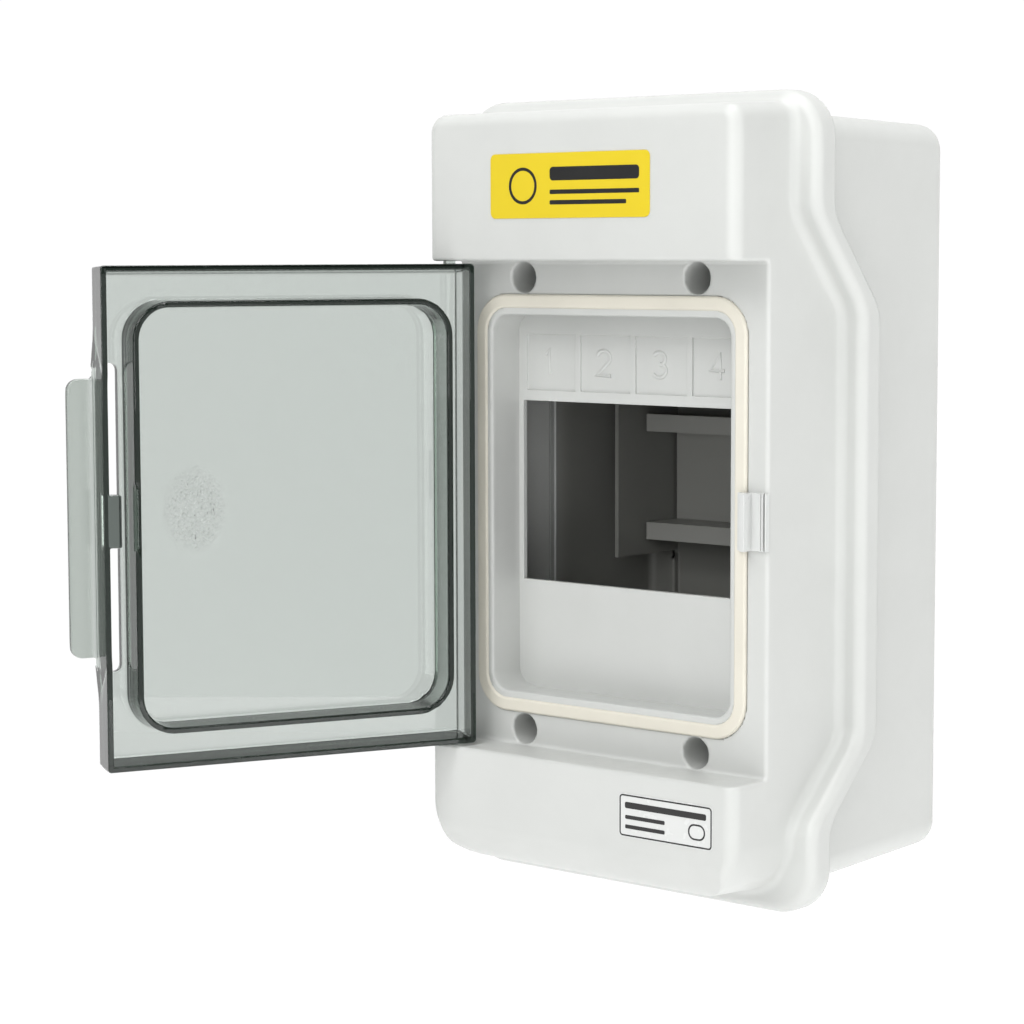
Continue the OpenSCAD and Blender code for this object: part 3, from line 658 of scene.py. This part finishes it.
def inside_shade_mask(nodes, links):
    """Mask of painted shade: 1 deep inside the enclosure's walls, 0 outside them, by position."""
    coord = nodes.new("ShaderNodeTexCoord")
    split = nodes.new("ShaderNodeSeparateXYZ")
    links.new(with_vector(nodes, links, "ABSOLUTE", coord.outputs["Object"]), split.inputs["Vector"])
    x, y, z = (split.outputs[axis] for axis in "XYZ")
    corner = combined(nodes, links, "ADD", x, z)
    limits = ((x, INSIDE_X), (z, INSIDE_Z), (corner, INSIDE_CORNER), (y, INSIDE_BACK), (y, INSIDE_FRONT))
    parts = [ranged(nodes, links, value, [v * MM for v in span], smooth=True) for value, span in limits]
    result = parts[0]
    for part in parts[1:]:
        result = combined(nodes, links, "MULTIPLY", result, part)
    return result


def surface(name, colour, rough, grain=4500, bump=0.12, tone=0.02, metallic=0.0, inside=None):
    """Moulded or metal surface: faint cloudy tone, uneven gloss and a fine grain.

    A colour for inside replaces its own inside the box, as painted shade of the dim interior.
    """
    mat, nodes, links, shader = new_material(name)
    cloud = ranged(nodes, links, noise(nodes, links, *CLOUD), NOISE_MIDDLE)
    darker, lighter = (tuple(min(c * level, 1) for c in colour) for level in (1 - tone, 1 + tone))
    tint = mixed(nodes, links, cloud, darker, lighter)
    # painted shade: the inside colour darkens the surface deep inside the box
    if inside:
        tint = mixed(nodes, links, inside_shade_mask(nodes, links), tint, inside)
    links.new(tint, shader.inputs["Base Color"])
    gloss = noise(nodes, links, *GLOSS)
    links.new(ranged(nodes, links, gloss, NOISE_MIDDLE, [rough + v for v in GLOSS_RANGE]),
              shader.inputs["Roughness"])
    relief(nodes, links, shader, noise(nodes, links, grain, GRAIN_DETAIL), GRAIN_HEIGHT, bump)
    shader.inputs["Metallic"].default_value = metallic
    return mat


def smoke_plastic(spot, origin, inward, reach, outward, grip_at):
    """Clear grey-green plastic, darker the more of it light crosses, with a crackled gate mark.

    The ends of its walls, deeper than reach along inward from origin, are painted dark as painted shade.
    Past grip_at along outward it is finely textured, and its colour is tinted darker there as painted shade.
    """
    mat, nodes, links, shader = new_material("smoke_clear")
    shader.inputs["Transmission Weight"].default_value = 1.0
    shader.inputs["IOR"].default_value = SMOKE_IOR
    coord = nodes.new("ShaderNodeTexCoord")
    offset = with_vector(nodes, links, "SUBTRACT", coord.outputs["Object"], [v * MM for v in origin])
    depth = with_vector(nodes, links, "DOT_PRODUCT", offset, inward)
    ends = ranged(nodes, links, depth, (reach * MM, (reach + ENDS_BLEND) * MM))
    run = with_vector(nodes, links, "DOT_PRODUCT", offset, outward)
    grip = ranged(nodes, links, run, (grip_at * MM, (grip_at + GRIP_BLEND) * MM))
    # painted shade: the wall ends darkened in the base colour
    tint = mixed(nodes, links, ends, (1, 1, 1), SMOKE_ENDS_SHADE)
    # painted shade: the handle tinted darker in the base colour
    links.new(mixed(nodes, links, grip, tint, GRIP_SHADE_TINT), shader.inputs["Base Color"])
    # the gate mark, taller than it is wide
    squash = nodes.new("ShaderNodeMapping")
    squash.inputs["Scale"].default_value = GATE_STRETCH
    links.new(coord.outputs["Object"], squash.inputs["Vector"])
    middle = [v * MM * k for v, k in zip(spot, GATE_STRETCH)]
    away = with_vector(nodes, links, "DISTANCE", squash.outputs["Vector"], middle)
    mark = ranged(nodes, links, away, (GATE_R * MM, (GATE_R - GATE_BLEND) * MM), smooth=True)
    crackle = nodes.new("ShaderNodeTexVoronoi")
    crackle.feature = "DISTANCE_TO_EDGE"
    crackle.inputs["Scale"].default_value = CRACKLE_SCALE
    links.new(squash.outputs["Vector"], crackle.inputs["Vector"])
    height = combined(nodes, links, "MULTIPLY", crackle.outputs["Distance"], mark)
    relief(nodes, links, shader, height, CRACKLE_HEIGHT, 1.0)
    matt = combined(nodes, links, "MAXIMUM", mark, grip)
    links.new(ranged(nodes, links, matt, (0, 1), (0, MATT_ROUGHNESS)), shader.inputs["Roughness"])
    body = nodes.new("ShaderNodeVolumeAbsorption")
    body.inputs["Color"].default_value = (*SMOKE_TINT, 1)
    body.inputs["Density"].default_value = SMOKE_DENSITY
    links.new(body.outputs["Volume"], nodes["Material Output"].inputs["Volume"])
    return mat


# The shell's inside colour is painted shade of the enclosure's dim interior.
SHELL = surface("shell_plastic", (0.50, 0.51, 0.495), 0.42, inside=(0.19, 0.192, 0.178))
# The rail is light plastic; its darker colour here is painted shade of the dim interior.
RAIL_PAINTED_SHADE = surface("rail_plastic_painted_shade", (0.29, 0.292, 0.275), 0.42)
CATCH = surface("catch_plastic", (0.53, 0.54, 0.53), 0.30, bump=0.05)
GASKET = surface("gasket_foam", (0.60, 0.575, 0.50), 0.75, grain=2600, bump=0.5, tone=0.04)
SEAL = surface("grey_foam", (0.36, 0.37, 0.36), 0.8, grain=2600, bump=0.5)
RUBBER = surface("black_rubber", (0.03, 0.03, 0.032), 0.6, grain=2600, bump=0.3)
HOLDER = surface("holder_plastic", (0.035, 0.038, 0.042), 0.4)
STEEL = surface("plated_steel", (0.62, 0.63, 0.65), 0.28, grain=1500, bump=0.08, metallic=1.0)
BRASS = surface("brass", (0.70, 0.50, 0.20), 0.26, grain=1500, bump=0.08, metallic=1.0)
YELLOW = surface("label_yellow", (0.60, 0.46, 0.016), 0.34, grain=1200, bump=0.04, tone=0.01)
LABEL_GREY = surface("label_clear", (0.56, 0.57, 0.56), 0.25, grain=1200, bump=0.04, tone=0.01)
INK = surface("ink", (0.012, 0.012, 0.012), 0.38, grain=1200, bump=0.03)

# ---------------------------------------------------------------- the enclosure
# Grid lines are closer together, as (from, to, step), where a moulding has edges, bends or holes.
cover = field_mesh(
    "cover_shell", cover_field,
    mirrored(0, 58, 4, (22.5, 34, 0.8), (34, 51.5, 0.65), (51.5, 58, 0.9)),
    ruler(FRONT_Y - 1, -41, 1.8, (FRONT_Y - 1, FRONT_Y + 5, 0.6), (RECESS_Y - 2, RECESS_Y + 2.5, 0.5),
          (RECESS_Y + 2.5, PANEL_Y + 4, 0.8), (-64, -41, 1.1)),
    ruler(-103, 103, 4, (-103, -82, 0.75), (-82, -46, 1.1), (-68, -48, 0.65), (42, 64, 0.65), (64, 82, 1.1),
          (82, 103, 0.75)))
place("cover_shell", cover, "enclosure", SHELL, ["front_cover"])

panel = place("way_panel", panel_mesh(), "enclosure", SHELL, ["front_cover"])
bevel(panel, 0.16)

for way in range(WAYS):
    name = f"way_number_{way + 1}"
    centre = (sum(way_edges(way)) / 2 + NUMBER_X, sum(POCKET_Z) / 2 + NUMBER_Z)
    strokes = stroke_mesh(name, digit_strokes(way + 1), centre, PANEL_Y + POCKET_D, NUMBER_LINE, NUMBER_RISE)
    place(name, strokes, "enclosure", SHELL, ["front_cover"])

back = field_mesh(
    "box_shell", box_field,
    mirrored(0, 52, 1.5, (10, 33, 0.9), (38, 52, 0.9)),
    ruler(-68, 1, 2, (-44, -18, 0.9), (-9, 1, 0.7)),
    mirrored(0, 98, 2, (74, 98, 0.95)))
place("box_shell", back, "enclosure", SHELL, ["back_box"])

foam_top, foam_neck, foam_swell = RECESS_Y - SEAL_PROUD, RECESS_Y + FOAM_NECK, RECESS_Y + FOAM_SWELL
gasket_half = [
    (FOAM_HALF, RECESS_Y + FOAM_FOOT), (FOAM_HALF, foam_neck), (FOAM_BULGE, foam_swell),
    (FOAM_BULGE, foam_top + FOAM_R), (FOAM_BULGE - FOAM_R, foam_top)]
gasket_profile = [(-out, y) for out, y in gasket_half] + gasket_half[::-1]
gasket_middle = [(a + b) / 2 for a, b in zip(SEAL_OUT, SEAL_IN)]
gasket = ring_mesh("gasket_ring", gasket_middle, SEAL_R - SEAL_W / 2, gasket_profile, (0, RECESS_Z))
gasket = place("gasket_ring", gasket, "enclosure", GASKET, ["door_gasket"])
bevel(gasket, 0.35, 3)

catch = prism_mesh("catch_clip", [[(x, RECESS_Y + y, z) for x, y in CATCH_OUTLINE] for z in CATCH_Z])
catch = place("catch_clip", catch, "enclosure", CATCH, ["latch_catch"])
bevel(catch, 0.14)

# Labels: plain plates with generic printed bars and rings, each as (centre, half size) in x and z.
LABEL_Y = FRONT_Y - 0.01
INK_PROUD, INK_SUNK, BAR_ROUNDING = 0.015, 0.02, 0.6
YELLOW_AT, YELLOW_HALF, YELLOW_R, YELLOW_T = (-1.8, 79), (25.6, 8.1), 1.5, 0.2
YELLOW_BARS = (((6.4, 81.9), (14.2, 1.7)), ((6.4, 77.4), (14.2, 0.55)), ((4.4, 74.8), (12.2, 0.55)))
GREY_AT, GREY_HALF, GREY_R, GREY_T = (28.9, -77), (14.6, 5.55), 1.0, 0.12
GREY_BARS = (((28.9, -74.4), (12.6, 0.8)), ((22.6, -77.4), (6.2, 0.5)), ((22.6, -79.8), (6.2, 0.5)))
yellow = plate_mesh("yellow_plate", YELLOW_AT, YELLOW_HALF, YELLOW_R, LABEL_Y - YELLOW_T, LABEL_Y)
yellow = place("yellow_plate", yellow, "enclosure", YELLOW, ["yellow_label"])
bevel(yellow, 0.06)
grey = plate_mesh("grey_plate", GREY_AT, GREY_HALF, GREY_R, LABEL_Y - GREY_T, LABEL_Y)
place("grey_plate", grey, "enclosure", LABEL_GREY, ["grey_label"])


def ink_bars(name, bars, label_t):
    """Printed bars with soft ends, on a label this thick."""
    y = LABEL_Y - label_t
    for n, (centre, half) in enumerate(bars):
        r = min(half) * BAR_ROUNDING
        mesh = plate_mesh(f"{name}_{n}", centre, half, r, y - INK_PROUD, y + INK_SUNK)
        place(f"{name}_{n}", mesh, "enclosure", INK)


def ink_ring(name, centre, half, r, width, label_t):
    """A printed line of this width just inside a rounded rectangle."""
    front, back = LABEL_Y - label_t - INK_PROUD, LABEL_Y - label_t + INK_SUNK
    profile = [(-width, back), (-width, front), (0, front), (0, back)]
    mesh = ring_mesh(name, half, r, profile, centre)
    mesh.polygons.foreach_set("use_smooth", [False] * len(mesh.polygons))
    place(name, mesh, "enclosure", INK)


ink_bars("yellow_bar", YELLOW_BARS, YELLOW_T)
ink_bars("grey_bar", GREY_BARS, GREY_T)
ink_ring("grey_border", GREY_AT, (14.3, 5.25), 1.0, 0.4, GREY_T)
ink_ring("grey_disc", (38.6, -78.4), (2.6, 2.0), 1.9, 0.45, GREY_T)
ink_ring("yellow_disc", (-16.6, 79), (4.6, 4.6), 4.55, 0.8, YELLOW_T)

# CAD pieces that keep their own shape, and the ones among them whose edges are softened.
CAD_LOOKS = (
    (SHELL, ("partition_left", "partition_right")),
    (RAIL_PAINTED_SHADE, ("din_rail",)),
    (SEAL, ("cover_seal",)),
    (RUBBER, ("cover_screw_washers",)),
    (HOLDER, ("earth_bar_holder", "negative_bar_holder")),
    (BRASS, ("cover_screw_inserts", "earth_bar", "negative_bar")),
    (STEEL, ("rail_screws", "partition_screws", "cover_screws", "earth_bar_screws", "negative_bar_screws",
             "bar_holder_screws")))
MOULDED = ("din_rail", "partition_left", "partition_right", "earth_bar_holder", "negative_bar_holder")
for look, alike in CAD_LOOKS:
    for node in alike:
        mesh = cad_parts[node].data
        mesh.materials.clear()
        mesh.materials.append(look)
for node in MOULDED:
    add_bevel(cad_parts[node], 0.3, angle=40)

# ---------------------------------------------------------------- the door
# It is made as when closed, then turned about its hinge to where it stands.
swing = math.radians(-DOOR_OPEN)
turn = np.array([[math.cos(swing), -math.sin(swing), 0], [math.sin(swing), math.cos(swing), 0], [0, 0, 1]])
pivot = np.array(HINGE)
gate_closed = np.array((HINGE.x + GATE_FROM_HINGE, DOOR_OUT_Y + DOOR_T, RECESS_Z + GATE_UP))
face = turn @ (np.array((0, DOOR_OUT_Y, 0)) - pivot) + pivot
SMOKE = smoke_plastic(
    spot=turn @ (gate_closed - pivot) + pivot, origin=face,
    inward=turn @ (0, 1, 0), reach=DOOR_RIM_Y - DOOR_OUT_Y - ENDS_DEPTH,
    outward=turn @ (1, 0, 0), grip_at=DOOR_X[1] + GRIP_START)
door = field_mesh(
    "door_tray", door_field,
    ruler(-51, 58.5, 3, (-51, -38, 0.45), (38, 52.5, 0.45), (52.5, 58.5, 0.6)),
    ruler(DOOR_OUT_Y - 0.8, RING_Y + 0.8, 0.4),
    RECESS_Z + ruler(-67.5, 67.5, 3, (-67.5, -40, 0.5), (40, 67.5, 0.5), (-8, 8, 0.5),
                     (-42, -32, 0.7), (32, 42, 0.7)),
    (turn, pivot))
place("door_tray", door, "door_panel", SMOKE, ["door"])

# ---------------------------------------------------------------- floor, in metres from here on
# The floor turns into the bright backdrop with distance, toward BACKDROP.
FLOOR_DROP, FLOOR_SIZE, FLOOR_FADE, FLOOR_GLOW = 0.16, 40, (0.25, 1.1), 0.3
FLOOR_COLOUR, FLOOR_ROUGHNESS = (0.9, 0.9, 0.9), 0.9
BACKDROP, BACKDROP_LIGHT = (-0.65, 0.76, 0.0), 1.02
ROOM_LIGHT, ROOM_FADE = 0.04, (0.05, 0.55)
bm = bmesh.new()
bmesh.ops.create_grid(bm, x_segments=1, y_segments=1, size=FLOOR_SIZE)
floor = bpy.data.objects.new("floor", from_bmesh("floor", bm))
bpy.context.scene.collection.objects.link(floor)
floor.location.z = cad_box[0].z - FLOOR_DROP
floor_mat, nodes, links, shader = new_material("pale_floor")
shader.inputs["Base Color"].default_value = (*FLOOR_COLOUR, 1)
shader.inputs["Roughness"].default_value = FLOOR_ROUGHNESS
shader.inputs["Emission Color"].default_value = (1, 1, 1, 1)
shader.inputs["Emission Strength"].default_value = FLOOR_GLOW
coord = nodes.new("ShaderNodeTexCoord")
reach = with_vector(nodes, links, "DOT_PRODUCT", coord.outputs["Object"], BACKDROP)
distant = nodes.new("ShaderNodeEmission")
distant.inputs["Strength"].default_value = BACKDROP_LIGHT
merge = nodes.new("ShaderNodeMixShader")
links.new(ranged(nodes, links, reach, FLOOR_FADE, smooth=True), merge.inputs["Fac"])
links.new(shader.outputs["BSDF"], merge.inputs[1])
links.new(distant.outputs["Emission"], merge.inputs[2])
links.new(merge.outputs["Shader"], nodes["Material Output"].inputs["Surface"])
floor.data.materials.append(floor_mat)

# ---------------------------------------------------------------- light
world = bpy.data.worlds.new("studio")
bpy.context.scene.world = world
world.use_nodes = True
nodes, links = world.node_tree.nodes, world.node_tree.links
ray = nodes.new("ShaderNodeTexCoord")
along = with_vector(nodes, links, "DOT_PRODUCT", ray.outputs["Generated"], BACKDROP)
glow = ranged(nodes, links, along, ROOM_FADE, (ROOM_LIGHT, BACKDROP_LIGHT), smooth=True)
nodes["Background"].inputs["Color"].default_value = (1, 1, 1, 1)
links.new(glow, nodes["Background"].inputs["Strength"])

LIGHT_AIM = Vector((0, -0.06, 0))


def softbox(name, at, size, power, mirrored_in_gloss=True):
    """Square lamp of this size in metres and power in watts, turned to the enclosure."""
    lamp = bpy.data.lights.new(name, "AREA")
    lamp.shape, lamp.size, lamp.energy = "SQUARE", size, power
    obj = bpy.data.objects.new(name, lamp)
    obj.location = at
    obj.rotation_euler = (LIGHT_AIM - Vector(at)).to_track_quat("-Z", "Y").to_euler()
    obj.visible_glossy = mirrored_in_gloss
    bpy.context.scene.collection.objects.link(obj)


softbox("right_box", (1.2, -0.03, 0.12), 0.8, 7.7, mirrored_in_gloss=False)
softbox("top_box", (0.1, -0.15, 1.2), 0.8, 10.6)
softbox("front_high", (-0.05, -0.9, 0.85), 0.6, 7.7)
softbox("front_right", (0.4, -1.0, 0.3), 0.7, 5.1)

# ---------------------------------------------------------------- camera
# It looks at a point of the recess's plane from DISTANCE metres, turned by YAW and looking down by PITCH.
YAW, PITCH, ROLL = math.radians(40.85), math.radians(5.38), math.radians(-0.16)
AIM = Vector((-32.15, RECESS_Y, -2.16 + RECESS_Z)) * MM
DISTANCE, LENS, FILM_WIDTH, FURTHEST = 0.7265, 97.73, 36, 60
forward = Vector((-math.sin(YAW) * math.cos(PITCH), math.cos(YAW) * math.cos(PITCH), -math.sin(PITCH)))
right = Vector((math.cos(YAW), math.sin(YAW), 0))
up = right.cross(forward)
right, up = (right * math.cos(ROLL) + up * math.sin(ROLL), up * math.cos(ROLL) - right * math.sin(ROLL))
camera = bpy.data.objects.new("camera", bpy.data.cameras.new("camera"))
camera.data.lens, camera.data.sensor_width, camera.data.clip_end = LENS, FILM_WIDTH, FURTHEST
basis = Matrix((right, up, -forward)).transposed().to_4x4()
camera.matrix_world = Matrix.Translation(AIM - forward * DISTANCE) @ basis
bpy.context.scene.collection.objects.link(camera)
bpy.context.scene.camera = camera
bpy.context.scene.view_settings.view_transform = "Standard"

bpy.context.view_layer.update()
